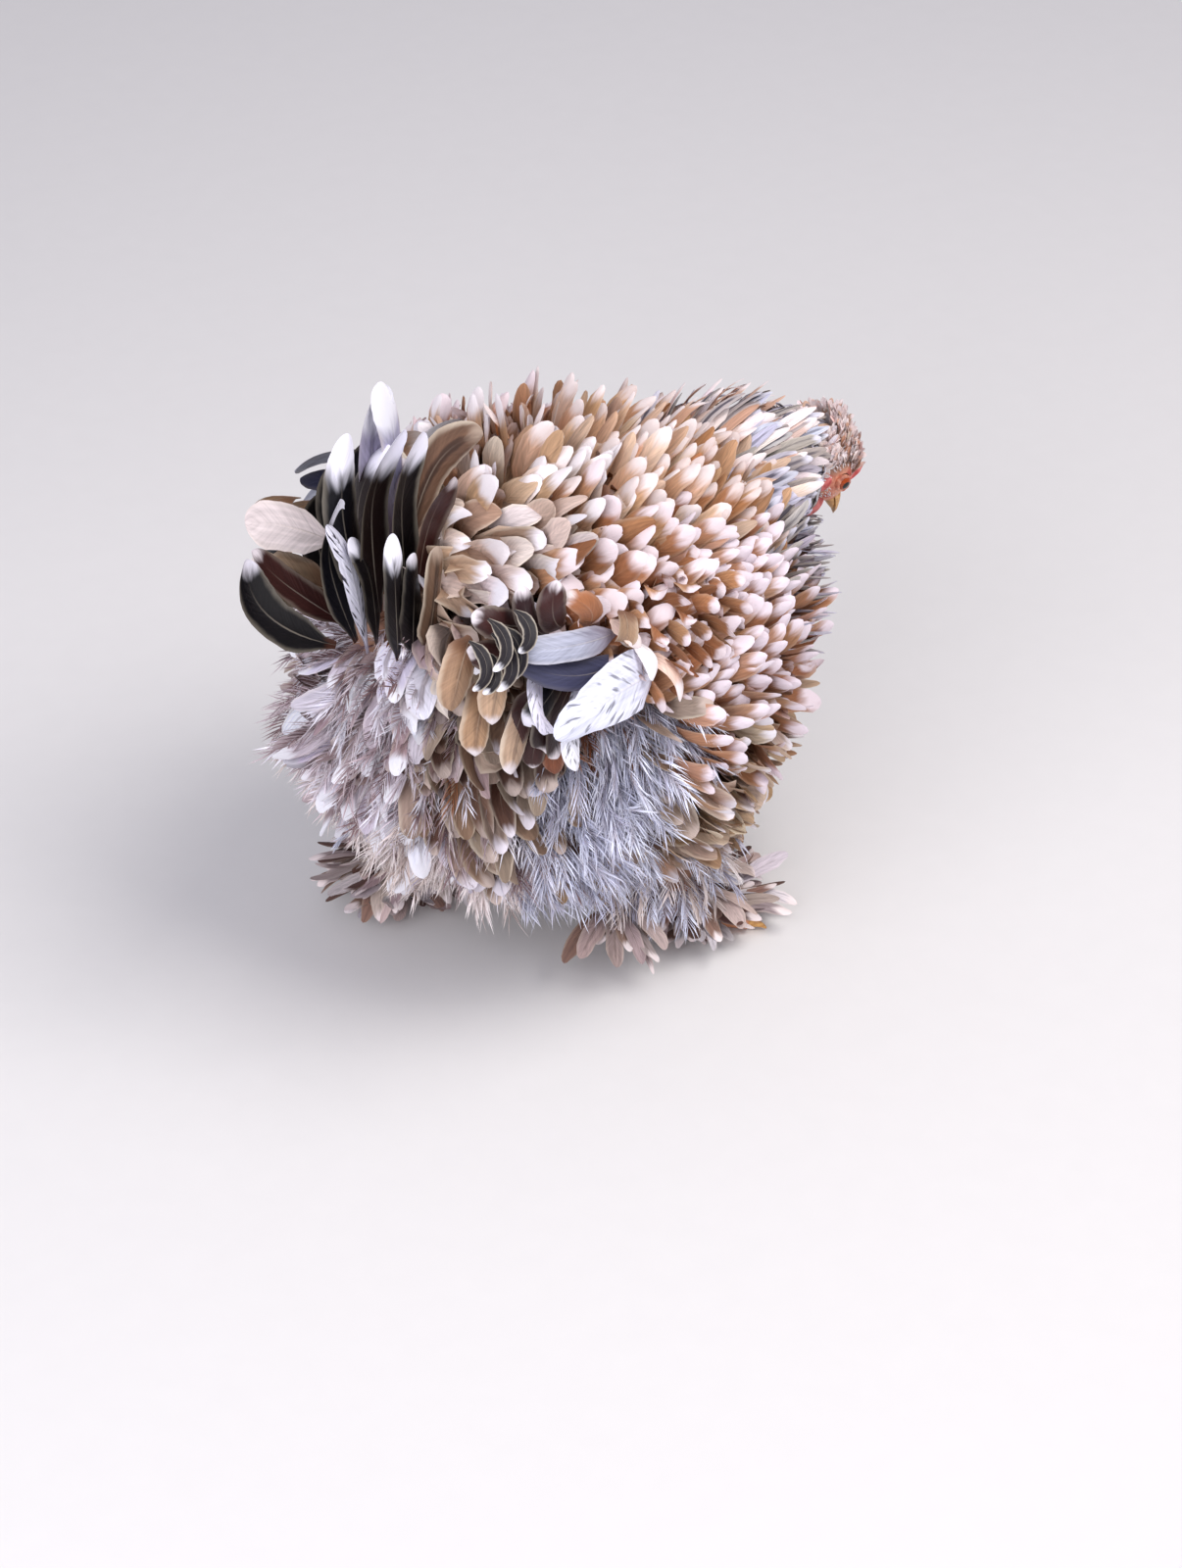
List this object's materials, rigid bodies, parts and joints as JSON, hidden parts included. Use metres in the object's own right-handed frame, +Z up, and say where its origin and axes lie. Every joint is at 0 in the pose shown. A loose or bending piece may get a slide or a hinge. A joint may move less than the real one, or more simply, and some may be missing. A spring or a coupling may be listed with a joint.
{
  "type": "frizzled bantam hen model",
  "caption": "Still life-size model of a small round hen with curled feathers, standing on feathered feet.",
  "frame": {"origin": "middle of the bounding box, on the floor the hen stands on", "axes": "+Z up, +X the way the hen faces, +Y to its left"},
  "size_m": [0.3096, 0.2398, 0.2946],
  "materials": {
    "coat": "buff, white-tipped curled feathers",
    "hackle": "cream feathers with dark stripes",
    "flight": "white, grey and slate flight feathers",
    "tail": "black feathers with white tips, slight gloss",
    "down": "soft grey-beige down",
    "boots": "beige and brown foot feathers over pinkish toes",
    "face": "red skin with small buff feathers",
    "comb": "soft red skin with fine grain",
    "horn": "yellow-brown horn, slight gloss",
    "eye": "dark red-orange, wet gloss"
  },
  "bodies": {
    "root": {"torso": "coat", "neck": "hackle", "head": "face", "beak_upper": "horn", "beak_lower": "horn", "comb": "comb", "wattle_right": "comb", "wattle_left": "comb", "earlobe_right": "comb", "earlobe_left": "comb", "eye_right": "eye", "eye_left": "eye", "wing_right": "flight", "wing_left": "flight", "tail": "tail", "leg_right": "down", "leg_left": "down", "foot_right": "boots", "foot_left": "boots", "claw_right_1": "horn", "claw_right_2": "horn", "claw_right_3": "horn", "claw_right_4": "horn", "claw_left_1": "horn", "claw_left_2": "horn", "claw_left_3": "horn", "claw_left_4": "horn"}
  },
  "joints": []
}
